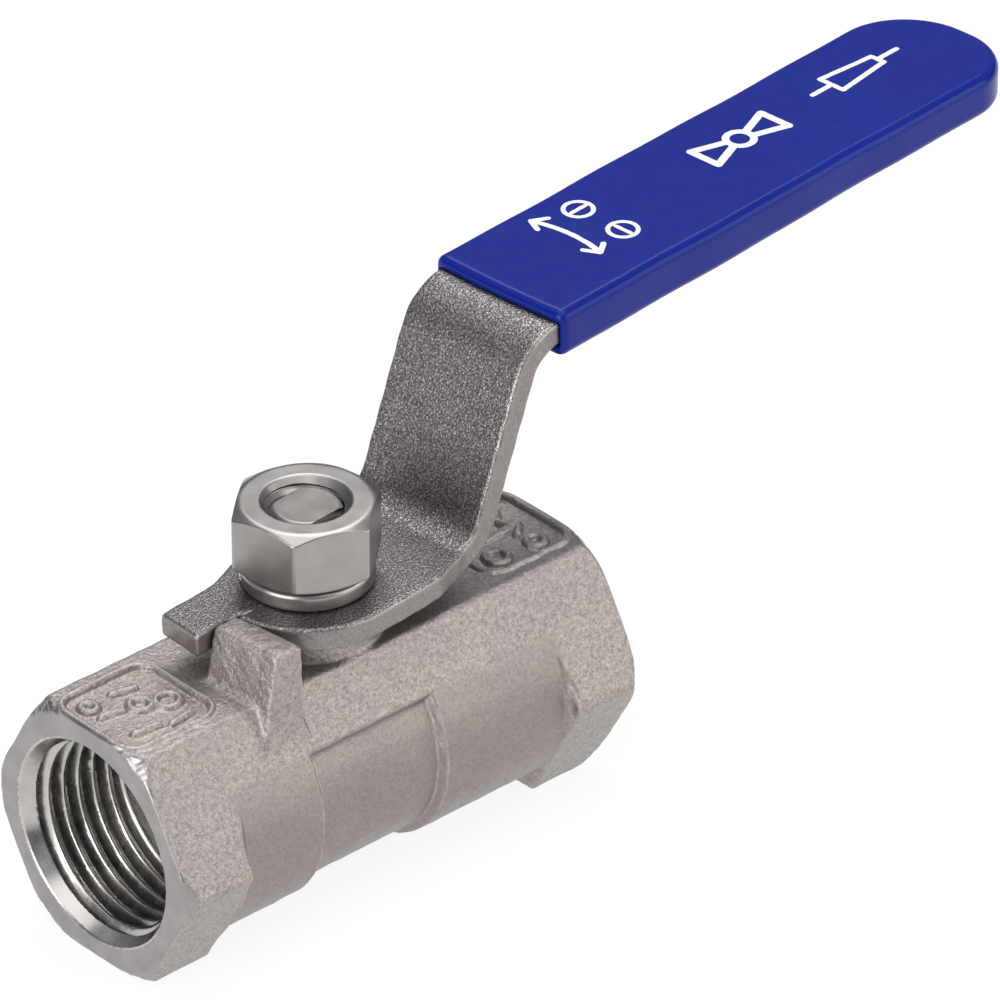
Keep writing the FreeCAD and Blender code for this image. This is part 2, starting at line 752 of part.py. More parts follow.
pieces = [
    make_valve_body(),
    make_ball(),
    make_seat("inlet_seat", "-Sizes.seat_back", "-Sizes.seat_front"),
    make_seat("outlet_seat", "Sizes.seat_front", "Sizes.seat_back"),
    make_retainer(),
    ring(
        "retainer_gasket",
        "Sizes.retainer_radius",
        "Sizes.seat_radius",
        "Sizes.gasket_start",
        "Sizes.gasket_end",
        V(1, 0, 0),
    ),
    make_stem(),
    *make_stem_seals(),
    make_lever(),
    make_spring_washer(),
    make_nut(),
    make_sleeve(),
]
doc.recompute()
check_document()
write_parts(pieces)
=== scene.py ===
import math

import bpy
import numpy as np
from mathutils import Matrix, Vector


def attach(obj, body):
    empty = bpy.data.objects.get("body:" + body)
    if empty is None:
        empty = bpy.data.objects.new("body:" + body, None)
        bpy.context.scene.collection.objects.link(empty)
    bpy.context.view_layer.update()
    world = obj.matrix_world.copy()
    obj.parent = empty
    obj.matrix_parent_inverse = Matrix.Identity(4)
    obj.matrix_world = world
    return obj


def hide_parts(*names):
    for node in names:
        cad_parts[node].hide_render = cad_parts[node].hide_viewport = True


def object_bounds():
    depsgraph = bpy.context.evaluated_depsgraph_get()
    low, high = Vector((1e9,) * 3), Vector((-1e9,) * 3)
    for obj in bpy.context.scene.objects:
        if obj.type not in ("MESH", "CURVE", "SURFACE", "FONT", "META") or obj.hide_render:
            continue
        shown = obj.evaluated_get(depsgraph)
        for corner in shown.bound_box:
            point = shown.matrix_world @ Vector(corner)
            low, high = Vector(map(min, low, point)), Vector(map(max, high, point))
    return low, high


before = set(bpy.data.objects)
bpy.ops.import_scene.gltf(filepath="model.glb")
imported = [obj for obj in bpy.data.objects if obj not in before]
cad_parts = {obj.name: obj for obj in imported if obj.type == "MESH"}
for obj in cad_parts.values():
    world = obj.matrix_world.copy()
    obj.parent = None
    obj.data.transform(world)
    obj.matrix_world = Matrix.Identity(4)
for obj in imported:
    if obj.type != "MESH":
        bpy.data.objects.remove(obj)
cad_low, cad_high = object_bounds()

MM = 0.001
COS30 = math.cos(math.radians(30))
HEX_HALF = 12.55
LEVER_TURN = math.radians(5)


# ------------------------------------------------------------------ solid shapes as fields
# A field gives, for points in millimetres, roughly the distance to a surface, negative inside.
def soft_min(a, b, k):
    h = np.maximum(k - np.abs(a - b), 0) / k
    return np.minimum(a, b) - h * h * k * 0.25


def soft_max(a, b, k):
    return -soft_min(-a, -b, k)


def ramp(t):
    t = np.clip(t, 0, 1)
    return t * t * (3 - 2 * t)


def bounded(value, low, high, k):
    """Inside where low < value < high."""
    return soft_max(low - value, value - high, k)


def rounded_box_2d(u, v, half_u, half_v, corner):
    du = np.abs(u) - (half_u - corner)
    dv = np.abs(v) - (half_v - corner)
    outside = np.hypot(np.maximum(du, 0), np.maximum(dv, 0))
    return outside + np.minimum(np.maximum(du, dv), 0) - corner


def stroke(x, y, a, b):
    """Distance in plan from the line between a and b."""
    along = np.array(b, float) - np.array(a, float)
    t = ((x - a[0]) * along[0] + (y - a[1]) * along[1]) / float(along @ along)
    t = np.clip(t, 0, 1)
    return np.hypot(x - a[0] - t * along[0], y - a[1] - t * along[1])


def uneven(x, y, z, wave, seed):
    """Gentle lumps between -1 and 1, for cast and tumbled surfaces."""
    s = 2 * math.pi / wave
    a = np.sin(s * (x + 0.31 * y) + seed) * np.sin(s * (0.93 * y - 0.27 * z) + 2.1 * seed)
    b = np.sin(1.73 * s * (z + 0.42 * x) + 3.7 * seed) * np.sin(1.61 * s * (y - 0.38 * x) + seed)
    return 0.6 * a + 0.4 * b


def screw_groove(x, angle, pitch, depth, start):
    """Depth cut below the crests of a right-hand pipe or metric thread."""
    phase = (x - start) / pitch - angle / (2 * math.pi)
    wave = np.abs(2 * (phase - np.floor(phase)) - 1)
    return depth * soft_min(soft_max((wave - 1 / 6) * 1.5, 0 * wave, 0.12), 1 + 0 * wave, 0.12)


# ------------------------------------------------------------------ from field to mesh
def gradient(field, points):
    h = 0.015
    total = np.zeros_like(points)
    for corner in ((1, -1, -1), (-1, -1, 1), (-1, 1, -1), (1, 1, 1)):
        k = np.array(corner, float)
        p = points + k * h
        total += k * field(p[:, 0], p[:, 1], p[:, 2])[:, None]
    length = np.linalg.norm(total, axis=1, keepdims=True)
    return total / np.maximum(length, 1e-9)


def sampled(field, low, counts, step):
    """Field values on a grid, worked out only in the blocks near the surface."""
    size = 8
    blocks = -(-counts // size)
    grid = np.empty(tuple(blocks * size), np.float32)
    view = grid.reshape(blocks[0], size, blocks[1], size, blocks[2], size)
    view = view.transpose(0, 2, 4, 1, 3, 5)
    index = np.stack(np.meshgrid(*[np.arange(n) for n in blocks], indexing="ij"), -1)
    index = index.reshape(-1, 3)
    middle = low + (index * size + (size - 1) / 2) * step
    value = field(middle[:, 0], middle[:, 1], middle[:, 2])
    view[index[:, 0], index[:, 1], index[:, 2]] = value[:, None, None, None]
    near = index[np.abs(value) < size * step * 0.87 * 1.25 + 0.4]
    ticks = np.arange(size) * step
    dx, dy, dz = np.meshgrid(ticks, ticks, ticks, indexing="ij")
    for start in range(0, len(near), 1500):
        part = near[start : start + 1500]
        origin = low + part * size * step
        x = (origin[:, 0, None, None, None] + dx).astype(np.float32)
        y = (origin[:, 1, None, None, None] + dy).astype(np.float32)
        z = (origin[:, 2, None, None, None] + dz).astype(np.float32)
        view[part[:, 0], part[:, 1], part[:, 2]] = field(x, y, z)
    return grid


def skin(field, low, high, step):
    """Vertices and quads of the zero surface, with edges kept sharp (dual contouring)."""
    low = np.array(low, float)
    counts = np.ceil((np.array(high, float) - low) / step).astype(int) + 1
    grid = sampled(field, low, counts, step)
    inside = grid < 0
    cell_shape = grid.shape
    points, cells, flips = [], [], []
    for axis in range(3):
        first = [slice(1, -1)] * 3
        second = [slice(1, -1)] * 3
        second[axis] = slice(2, None)
        change = inside[tuple(first)] != inside[tuple(second)]
        at = np.argwhere(change) + 1
        after = at.copy()
        after[:, axis] += 1
        f0 = grid[at[:, 0], at[:, 1], at[:, 2]].astype(float)
        f1 = grid[after[:, 0], after[:, 1], after[:, 2]].astype(float)
        p = at.astype(float)
        p[:, axis] += f0 / (f0 - f1)
        points.append(low + p * step)
        others = [a for a in range(3) if a != axis]
        around = []
        for da, db in ((-1, -1), (0, -1), (0, 0), (-1, 0)):
            c = at.copy()
            c[:, others[0]] += da
            c[:, others[1]] += db
            around.append(np.ravel_multi_index(c.T, cell_shape))
        cells.append(np.stack(around, 1))
        flips.append((f0 < 0) != (axis == 1))
    points = np.concatenate(points)
    cells = np.concatenate(cells)
    flips = np.concatenate(flips)
    normal = gradient(field, points)

    used, cell_of = np.unique(cells, return_inverse=True)
    cell_of = cell_of.reshape(cells.shape)
    n = len(used)
    flat = cell_of.ravel()
    p4 = np.repeat(points, 4, axis=0)
    n4 = np.repeat(normal, 4, axis=0)
    count = np.bincount(flat, minlength=n)
    centre = np.stack([np.bincount(flat, p4[:, i], n) for i in range(3)], 1) / count[:, None]
    reach = np.einsum("ij,ij->i", n4, p4 - centre[flat])
    a = np.zeros((n, 3, 3))
    b = np.zeros((n, 3))
    for i in range(3):
        b[:, i] = np.bincount(flat, n4[:, i] * reach, n)
        for j in range(i, 3):
            a[:, i, j] = a[:, j, i] = np.bincount(flat, n4[:, i] * n4[:, j], n)
    a += np.eye(3) * 0.08
    move = np.linalg.solve(a, b[:, :, None])[:, :, 0]
    corner = np.stack(np.unravel_index(used, cell_shape), 1) * step + low
    verts = np.clip(centre + move, corner - 0.1 * step, corner + 1.1 * step)
    quads = np.where(flips[:, None], cell_of, cell_of[:, ::-1])
    return verts, quads


def plain_mesh(name, verts, faces):
    mesh = bpy.data.meshes.new(name)
    verts = np.ascontiguousarray(verts * MM, np.float32)
    faces = np.ascontiguousarray(faces, np.int32)
    mesh.vertices.add(len(verts))
    mesh.vertices.foreach_set("co", verts.ravel())
    mesh.loops.add(faces.size)
    mesh.loops.foreach_set("vertex_index", faces.ravel())
    mesh.polygons.add(len(faces))
    mesh.polygons.foreach_set("loop_start", np.arange(len(faces), dtype=np.int32) * faces.shape[1])
    mesh.update(calc_edges=True)
    mesh.validate()
    return mesh


def thin_out(mesh, keep):
    """The same mesh with fewer triangles where it is flat."""
    helper = bpy.data.objects.new("helper", mesh)
    bpy.context.scene.collection.objects.link(helper)
    modifier = helper.modifiers.new("thin", "DECIMATE")
    modifier.ratio = keep
    modifier.use_collapse_triangulate = True
    graph = bpy.context.evaluated_depsgraph_get()
    thinner = bpy.data.meshes.new_from_object(helper.evaluated_get(graph))
    bpy.data.objects.remove(helper)
    return thinner


def shade_by_field(mesh, field):
    """Corner normals from the field itself, so rounded edges shade as the true surface."""
    count = len(mesh.loops)
    of_vertex = np.empty(count, np.int32)
    mesh.loops.foreach_get("vertex_index", of_vertex)
    co = np.empty(len(mesh.vertices) * 3, np.float32)
    mesh.vertices.foreach_get("co", co)
    co = co.reshape(-1, 3).astype(float) / MM
    faces = len(mesh.polygons)
    total = np.empty(faces, np.int32)
    mesh.polygons.foreach_get("loop_total", total)
    flat = np.empty(faces * 3, np.float32)
    mesh.polygons.foreach_get("normal", flat)
    centre = np.empty(faces * 3, np.float32)
    mesh.polygons.foreach_get("center", centre)
    face_of = np.repeat(np.arange(faces), total)
    flat = flat.reshape(-1, 3)[face_of].astype(float)
    centre = centre.reshape(-1, 3)[face_of].astype(float) / MM
    normal = gradient(field, co)[of_vertex]
    off = np.einsum("ij,ij->i", normal, flat) < 0.97
    inner = co[of_vertex[off]] * 0.7 + centre[off] * 0.3
    normal[off] = gradient(field, inner)
    wrong = np.einsum("ij,ij->i", normal, flat) < 0.3
    normal[wrong] = flat[wrong]
    mesh.polygons.foreach_set("use_smooth", np.ones(faces, bool))
    mesh.normals_split_custom_set(normal.astype(np.float32))


def piece(name, mesh, node, body, materials):
    obj = bpy.data.objects.new(name, mesh)
    bpy.context.scene.collection.objects.link(obj)
    mesh.materials.clear()
    for material in materials:
        mesh.materials.append(material)
    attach(obj, body)
    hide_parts(node)
    return obj


def carve(name, field, low, high, step, limit=190000):
    """Mesh of a field, with no more than limit triangles."""
    verts, quads = skin(field, low, high, step)
    verts = np.clip(verts, np.array(cad_low) / MM + 0.005, np.array(cad_high) / MM - 0.005)
    mesh = plain_mesh(name, verts, quads)
    triangles = 2 * len(quads)
    if triangles > limit:
        mesh = thin_out(mesh, limit / triangles)
    shade_by_field(mesh, field)
    print(name, "triangles", triangles)
    return mesh


# ------------------------------------------------------------------ valve body
INLET, OUTLET = -26.9, 29.6
RING_IN, WAIST_IN, WAIST_OUT, RING_OUT = -19.0, -9.0, 6.2, 21.6
BARREL, WAIST = 12.55, 11.7
FACE_RADIUS, SETBACK = 13.05, 1.24
MOUTH, MINOR, THREAD_DEPTH, PITCH = 10.58, 9.32, 1.162, 1.814
INLET_FLOOR, OUTLET_FLOOR = -14.2, 15.8
PANELS = ((-20.95, 5.2), (23.45, 5.1))
PANEL_FLOOR = 12.2
BOSS_RADIUS, BOSS_TOP = 6.95, 14.9
STOP_FRONT, STOP_BACK = -12.3, -9.34
STOP_LEFT, STOP_RIGHT, STOP_TOP = -0.82, -9.1, 18.15
STOP_HOLLOW = 9.5
PORT, CHAMBER, RETAINER_POCKET = 4.6, 8.4, 9.06
SHOULDER_BORE, SHAFT_BORE, PACKING_BORE = 5.42, 4.06, 6.0

# raised marks cast in the two panels: bars (from, to) and rings (centre, radius)
BARS = (
    ((-23.9, -3.1), (-21.4, -3.5)),
    ((-20.2, -4.1), (-17.9, -3.9)),
    ((-21.2, 3.3), (-18.9, 2.7)),
    ((-24.4, 1.0), (-22.3, 0.6)),
    ((20.1, -0.2), (26.4, -0.2)),
    ((26.4, -0.2), (25.1, 1.0)),
    ((26.4, -0.2), (25.1, -1.4)),
    ((20.1, 2.9), (22.3, 2.9)),
)
RINGS = (
    ((-20.4, 0.2), 1.0),
    ((-18.0, -0.9), 1.15),
    ((-24.2, 3.0), 0.75),
    ((20.9, -3.2), 1.15),
    ((25.6, -3.5), 0.9),
    ((25.2, 3.0), 1.0),
)


def hexagon(y, z, half, k=0.4):
    side = np.abs(y) * COS30 + np.sqrt(z * z + 0.16) * 0.5
    return soft_max(side, np.abs(z), k) - half


def body_outside(x, y, z):
    lumps = uneven(x, y, z, 5.3, 0.7)
    small = uneven(x, y, z, 1.9, 2.3)
    yy = y + 0.05 * lumps
    zz = z + 0.04 * uneven(z, x, y, 4.1, 1.9)
    xx = x + 0.16 * lumps + 0.05 * small
    r = np.hypot(yy, zz)
    hexed = hexagon(yy, zz, HEX_HALF)
    waist = ramp((xx - WAIST_IN + 0.2) / 0.75) * ramp((WAIST_OUT + 0.2 - xx) / 0.75)
    tube = (r - BARREL + (BARREL - WAIST) * waist) * 0.85
    shoulder = 0.75 - (0.866 * zz - 0.5 * np.abs(yy))
    upper = soft_max(hexed, shoulder, 0.6)
    fillet = 0.08 + 0.7 * waist
    shape = soft_min(tube, upper, fillet)
    for ring, away in ((RING_IN, 1), (RING_OUT, -1)):
        block = soft_max(hexed, away * (xx - ring), 0.6)
        near = np.exp(-(((x - ring) / 1.3) ** 2))
        shape = np.minimum(shape, soft_min(tube, block, 0.03 + 0.9 * near))
    shape = np.maximum(shape, hexed - 0.01)
    slope = (HEX_HALF / COS30 - FACE_RADIUS) / SETBACK
    tilt = math.hypot(1, slope)
    rough = 0.05 * uneven(x, y, z, 1.3, 5.1) + 0.05 * uneven(x, y, z, 2.9, 1.1)
    for face, away in ((INLET, 1), (OUTLET, -1)):
        cone = (r - FACE_RADIUS - away * (x - face) * slope) / tilt + rough
        shape = soft_max(shape, cone, 0.3)
        shape = soft_max(shape, away * (face - x), 0.25)
    return shape


def stop_lug(x, y, z):
    x = x + 0.06 * uneven(x, y, z, 3.1, 4.2)
    y = y + 0.05 * uneven(z, x, y, 2.7, 1.2)
    u, v = to_lever(x, y)
    # the pattern's draft: it narrows a little towards the top, most of all in front
    down = STOP_TOP - z
    ends = bounded(y, STOP_RIGHT - 0.035 * down, STOP_LEFT, 0.5)
    front = (STOP_FRONT - 0.2 * down - u) * 0.98
    back = u - STOP_BACK
    plan = soft_max(soft_max(ends, front, 0.6), back, 0.4)
    top = z - STOP_TOP + 0.05 * uneven(x, y, z, 2.3, 0.4) + 0.03 * (y + 4.5)
    shape = soft_max(plan, top, 0.55)
    return soft_max(shape, STOP_HOLLOW - np.hypot(x, y), 0.4)


def panels(x, y, z, shape):
    """Sunk panels on the top flat, each with a raised rim and raised marks."""
    yw = y + 0.10 * uneven(x, y, z, 3.7, 0.2)
    xw = x + 0.10 * uneven(y, x, z, 3.3, 1.4)
    for centre, half in PANELS:
        plan = rounded_box_2d(xw - centre, yw, half, 5.35, 1.9)
        shape = soft_max(shape, -soft_max(plan, PANEL_FLOOR - z, 0.35), 0.3)
        rim = np.hypot(plan - 0.30, (z - HEX_HALF + 0.02)) - 0.36
        shape = soft_min(shape, rim, 0.2)
    marks = 1e3 + 0 * x
    for a, b in BARS:
        marks = np.minimum(marks, stroke(xw, yw, a, b))
    for centre, radius in RINGS:
        marks = np.minimum(marks, np.abs(np.hypot(xw - centre[0], yw - centre[1]) - radius))
    relief = np.hypot(marks, (z - PANEL_FLOOR) * 0.8) - 0.46
    return soft_min(shape, relief, 0.18)


def passage(x, y, z):
    """Everything machined out of the body along the flow axis."""
    r = np.hypot(y, z)
    angle = np.arctan2(z, y)
    full = ramp((x - INLET - 1.1) / 0.6) * ramp((-15.0 - x) / 1.5)
    full = np.maximum(full, ramp((x - 16.6) / 1.5) * ramp((OUTLET - 1.1 - x) / 0.6))
    cut = screw_groove(x, angle, PITCH, THREAD_DEPTH, 0.35) * full
    threaded = (r - MINOR - cut) * 0.8
    inlet = soft_max(threaded, x - INLET_FLOOR, 0.15)
    outlet = soft_max(threaded, OUTLET_FLOOR - x, 0.15)
    lead_in = (r - MOUTH + (x - INLET) * 0.6) * 0.857
    lead_out = (r - MOUTH + (OUTLET - x) * 0.6) * 0.857
    lead_in = soft_max(lead_in, x - INLET - 4.0, 0.1)
    lead_out = soft_max(lead_out, OUTLET - 4.0 - x, 0.1)
    bevel_in = (r - (MOUTH + 0.14) + (x - INLET) * 1.5) * 0.555
    bevel_out = (r - (MOUTH + 0.14) + (OUTLET - x) * 1.5) * 0.555
    bevel_in = np.maximum(bevel_in, x - INLET - 2.0)
    bevel_out = np.maximum(bevel_out, OUTLET - 2.0 - x)
    port = np.maximum(r - PORT, np.abs(x) - 15.0)
    chamber = np.maximum(r - CHAMBER, bounded(x, -8.55, 9.35, 0.05))
    pocket = np.maximum(r - RETAINER_POCKET, bounded(x, 9.3, 16.0, 0.05))
    cut_out = np.minimum(inlet, outlet)
    for other in (lead_in, lead_out, bevel_in, bevel_out, port, chamber, pocket):
        cut_out = np.minimum(cut_out, other)
    return cut_out


def stem_bore(x, y, z):
    r = np.hypot(x, y)
    lower = np.maximum(r - SHOULDER_BORE, bounded(z, 5.4, 10.15, 0.05))
    shaft = np.maximum(r - SHAFT_BORE, bounded(z, 5.4, 20.0, 0.05))
    packing = np.maximum(r - PACKING_BORE, bounded(z, 11.2, 20.0, 0.05))
    return np.minimum(np.minimum(lower, shaft), packing)


def valve_body(x, y, z):
    shape = body_outside(x, y, z)
    shape = panels(x, y, z, shape)
    lug = np.maximum(stop_lug(x, y, z), 6.0 - z)
    shape = soft_min(shape, lug, 0.75)
    r = np.hypot(x, y)
    boss = np.maximum(soft_max(r - BOSS_RADIUS, z - BOSS_TOP, 0.35), 8.0 - z)
    shape = soft_min(shape, boss, 0.5)
    shape = soft_max(shape, -passage(x, y, z), 0.12)
    return soft_max(shape, -stem_bore(x, y, z), 0.12)


# ------------------------------------------------------------------ lever
PLATE, LOW, HIGH = 2.5, 15.25, 34.25
RISE = math.radians(67.5)
BEND_U = 14.5
BEND_R = 4.8
HEAD_RIGHT, HEAD_LEFT = 9.2, 7.4
TAB_RIGHT, TAB_LEFT, TAB_END = 0.45, 5.75, -14.22
HOLE_RADIUS, HOLE_FLAT = 4.06, 2.72
TIP_CENTRE, TIP_RADIUS = 84.9, 6.5
# half-widths of the arm along the plate, on its right and on its left
RIGHT_STATIONS = (-1, 5.5, 8.4, 10.2, 13.75, 20, 38, 45)
RIGHT_WIDTHS = (9.2, 9.25, 9.15, 8.6, 7.65, 7.6, 7.6, 6.5)
LEFT_STATIONS = (-1, 0, 13.75, 20, 38, 45)
LEFT_WIDTHS = (7.4, 7.45, 7.6, 7.6, 7.6, 6.5)


def lever_path():
    """Corners of the plate's mid-line in the lever's side view."""
    z1, z2 = LOW + PLATE / 2, HIGH + PLATE / 2
    shift = PLATE / 2 * math.tan(RISE / 2)
    u1 = BEND_U + shift
    u2 = u1 + (z2 - z1) / math.tan(RISE)
    return u1, z1, u2, z2


def to_lever(x, y):
    c, s = math.cos(LEVER_TURN), math.sin(LEVER_TURN)
    return x * c + y * s, -x * s + y * c


def plate_coordinates(u, z):
    """Length along the bent plate and height from its mid-surface."""
    u1, z1, u2, z2 = lever_path()
    cut = BEND_R * math.tan(RISE / 2)
    run = math.hypot(u2 - u1, z2 - z1)
    c, s = math.cos(RISE), math.sin(RISE)
    arc = BEND_R * RISE
    best = np.full(np.shape(u), 1e9)
    along = np.zeros(np.shape(u))
    height = np.zeros(np.shape(u))

    def keep(distance, length, up):
        nonlocal best, along, height
        closer = distance < best
        best = np.where(closer, distance, best)
        along = np.where(closer, length, along)
        height = np.where(closer, up, height)

    first = u1 - cut
    t = np.minimum(u, first)
    keep(np.hypot(u - t, z - z1), t, z - z1)
    for centre_u, centre_z, side, base in (
        (first, z1 + BEND_R, 1, first),
        (u2 + cut, z2 - BEND_R, -1, first + arc + run - 2 * cut),
    ):
        du, dz = u - centre_u, z - centre_z
        radius = np.hypot(du, dz)
        if side > 0:
            angle = np.arctan2(du, -dz)
            turn = np.clip(angle, 0, RISE)
            length = base + turn * BEND_R
        else:
            angle = np.arctan2(-du, dz)
            turn = np.clip(angle, 0, RISE)
            length = base + (RISE - turn) * BEND_R
        inside = np.abs(angle - turn) < 1e-6
        distance = np.where(inside, np.abs(radius - BEND_R), 1e8)
        keep(distance, length, (BEND_R - radius) * side)
    start_u, start_z = u1 + cut * c, z1 + cut * s
    t = np.clip((u - start_u) * c + (z - start_z) * s, 0, run - 2 * cut)
    du, dz = u - start_u - t * c, z - start_z - t * s
    keep(np.hypot(du, dz), first + arc + t, dz * c - du * s)
    last = u2 + cut
    t = np.maximum(u, last)
    base = first + 2 * arc + run - 2 * cut
    keep(np.hypot(u - t, z - z2), base + t - last, z - z2)
    return along, height


def lever_plan(s, v):
    """Outline of the blank in the flat: head, tab and arm."""
    r = np.hypot(s, v)
    right = soft_max(r - HEAD_RIGHT, v, 0.05)
    left = soft_max(r - HEAD_LEFT, -v - 0.2, 0.05)
    tab_end = TAB_END + 0.1 * (v - TAB_RIGHT) - s
    tab = soft_max(bounded(v, TAB_RIGHT, TAB_LEFT, 0.3), soft_max(tab_end, s, 0.05), 0.3)
    head = np.minimum(soft_min(left, tab, 2.6), right)
    head = np.minimum(head, soft_max(tab, r - 8.0 - 20 * (v > 0), 0.05))
    half_right = np.interp(s, RIGHT_STATIONS, RIGHT_WIDTHS)
    half_left = np.interp(s, LEFT_STATIONS, LEFT_WIDTHS)
    arm = np.maximum(v - half_left, -half_right - v)
    arm = soft_max(arm, bounded(s, 0.0, 110.0, 0.1), 0.1)
    return np.minimum(head, arm)


def lever(x, y, z):
    u, v = to_lever(x, y)
    s, height = plate_coordinates(u, z)
    wavy = 0.05 * uneven(s, v, height, 3.4, 0.9)
    plan = lever_plan(s, v) + wavy
    shape = soft_max(plan, np.abs(height) - PLATE / 2, 0.55)
    tip = np.hypot(np.maximum(u - TIP_CENTRE, 0), v) - TIP_RADIUS
    shape = np.maximum(shape, np.where(u > 70, tip, -1.0))
    hole = soft_max(np.hypot(u, v) - HOLE_RADIUS, np.abs(v) - HOLE_FLAT, 0.1)
    hole = np.maximum(hole, z - 25)
    return soft_max(shape, -hole, 0.2)


# ------------------------------------------------------------------ grip sleeve
SLEEVE_IN, SLEEVE_OUT = 26.0, 93.35
SLEEVE_LOW, SLEEVE_TOP = 33.05, 37.95
SLEEVE_HALF, SLEEVE_EDGE = 8.25, 1.05
CORNER_LEFT, CORNER_RIGHT = 8.24, 6.8


def sleeve(x, y, z):
    u, v = to_lever(x, y)
    # the dipped coat is a little thinner underneath towards its closed end
    bottom = SLEEVE_LOW + 0.5 * ramp((u - 30) / 60)
    mid = (bottom + SLEEVE_TOP) / 2
    thick = (SLEEVE_TOP - bottom) / 2
    length = SLEEVE_OUT - SLEEVE_IN + 12
    drift = 0.06 * np.sin(u * 0.21) + 0.04 * np.sin(u * 0.47 + 1.0)
    corner = np.where(v > 0, CORNER_LEFT, CORNER_RIGHT)
    along = u - (SLEEVE_OUT - length / 2)
    plan = rounded_box_2d(along, v, length / 2, SLEEVE_HALF, corner) + drift
    beyond = plan + SLEEVE_EDGE
    above = np.abs(z - mid) - thick + SLEEVE_EDGE
    shape = np.hypot(np.maximum(beyond, 0), np.maximum(above, 0)) - SLEEVE_EDGE
    shape = shape + np.minimum(np.maximum(beyond, above), 0)
    front = SLEEVE_IN + 0.004 * v * v - u
    shape = soft_max(shape, front, 0.9)
    grip = bounded(z, HIGH - 0.04, HIGH + PLATE + 0.04, 0.1)
    wide = 7.68 - np.clip((u - 32.0) * 0.18, 0, 1.1)
    hollow = soft_max(np.abs(v) - wide, grip, 0.4)
    tip = np.hypot(np.maximum(u - TIP_CENTRE, 0), v) - (TIP_RADIUS + 0.2)
    hollow = np.maximum(hollow, np.where(u > 70, tip, -1.0))
    return soft_max(shape, -hollow, 0.3)


# ------------------------------------------------------------------ nut, washer, stem
NUT_TOP, NUT_FOOT, NUT_HALF, NUT_FACE = 26.35, 19.85, 6.5, 6.3
METRIC_MINOR, METRIC_PITCH, METRIC_DEPTH = 3.45, 1.25, 0.6
WASHER_LOW, WASHER_HIGH, WASHER_BORE, WASHER_RIM = 17.77, 19.72, 4.15, 6.42
STEM_TOP, STEM_RADIUS, STEM_FLAT, STEM_FACE = 25.7, 3.97, 2.6, 3.12


def nut(x, y, z):
    turn = math.radians(40)
    u = x * math.cos(turn) + y * math.sin(turn)
    v = -x * math.sin(turn) + y * math.cos(turn)
    flat = np.abs(v)
    for angle in (60, 120):
        c, s = math.cos(math.radians(angle)), math.sin(math.radians(angle))
        flat = soft_max(flat, np.abs(v * c + u * s), 0.32)
    r = np.hypot(x, y)
    shape = flat - NUT_HALF
    tilt = math.radians(30)
    for level, up in ((NUT_TOP, 1), (NUT_FOOT, -1)):
        cone = (r - NUT_FACE) * math.sin(tilt) + up * (z - level) * math.cos(tilt)
        shape = soft_max(shape, cone, 0.14)
        shape = soft_max(shape, up * (z - level), 0.18)
    angle = np.arctan2(y, x)
    cut = screw_groove(z, angle, METRIC_PITCH, METRIC_DEPTH, 0.2)
    hole = (r - METRIC_MINOR - cut) * 0.8
    mouth = (r - 4.35 + (NUT_TOP - z) * 0.9) * 0.74
    foot = (r - 4.6 + (z - NUT_FOOT)) * 0.7071
    hole = np.minimum(hole, np.minimum(mouth, foot))
    return soft_max(shape, -hole, 0.12)


def spring_washer(x, y, z):
    r = np.hypot(x, y)
    angle = np.arctan2(y, x) - math.radians(150)
    angle = angle - 2 * math.pi * np.floor(angle / (2 * math.pi))
    ring = bounded(r, WASHER_BORE, WASHER_RIM, 0.3)
    shape = soft_max(ring, bounded(z, WASHER_LOW, WASHER_HIGH, 0.3), 0.6)
    gap = np.abs((angle - math.pi) * r + (z - 18.8) * 0.45) - (math.pi * r - 0.25)
    return soft_max(shape, gap, 0.15)


def stem(x, y, z):
    r = np.hypot(x, y)
    u, v = to_lever(x, y)
    angle = np.arctan2(y, x)
    cut = METRIC_DEPTH - screw_groove(z, -angle, METRIC_PITCH, METRIC_DEPTH, 0.3)
    cut = cut * ramp((z - 19.4) / 0.6)
    shaft = (r - STEM_RADIUS + cut) * 0.85
    flats = np.abs(v) - STEM_FLAT
    shaft = np.where(z > 15.0, soft_max(shaft, flats, 0.15), shaft)
    chamfer = (r - STEM_FACE + (z - STEM_TOP) * 1.1) * 0.67
    shaft = soft_max(shaft, chamfer, 0.1)
    shaft = soft_max(shaft, bounded(z, 8.6, STEM_TOP, 0.1), 0.1)
    shoulder = soft_max(r - 5.3, bounded(z, 8.6, 9.4, 0.1), 0.15)
    tang = soft_max(bounded(y, -1.5, 1.5, 0.1), bounded(x, -3.4, 3.4, 0.1), 0.2)
    tang = soft_max(tang, bounded(z, 5.6, 9.0, 0.1), 0.2)
    return np.minimum(np.minimum(shaft, shoulder), tang)


# ------------------------------------------------------------------ materials
def new_material(name):
    material = bpy.data.materials.new(name)
    material.use_nodes = True
    tree = material.node_tree
    shader = tree.nodes["Principled BSDF"]
    return material, tree, shader


def node(tree, kind, **settings):
    made = tree.nodes.new(kind)
    for key, value in settings.items():
        setattr(made, key, value)
    return made


def object_place(tree):
    return node(tree, "ShaderNodeTexCoord").outputs["Object"]


def noise(tree, place, scale, detail=4.0, rough=0.55):
    made = node(tree, "ShaderNodeTexNoise")
    tree.links.new(place, made.inputs["Vector"])
    made.inputs["Scale"].default_value = scale
    made.inputs["Detail"].default_value = detail
    made.inputs["Roughness"].default_value = rough
    return made.outputs["Fac"]


def spread(tree, value, low, high, to_low=0.0, to_high=1.0):
    made = node(tree, "ShaderNodeMapRange")
    tree.links.new(value, made.inputs["Value"])
    made.inputs["From Min"].default_value = low
    made.inputs["From Max"].default_value = high
    made.inputs["To Min"].default_value = to_low
    made.inputs["To Max"].default_value = to_high
    return made.outputs["Result"]


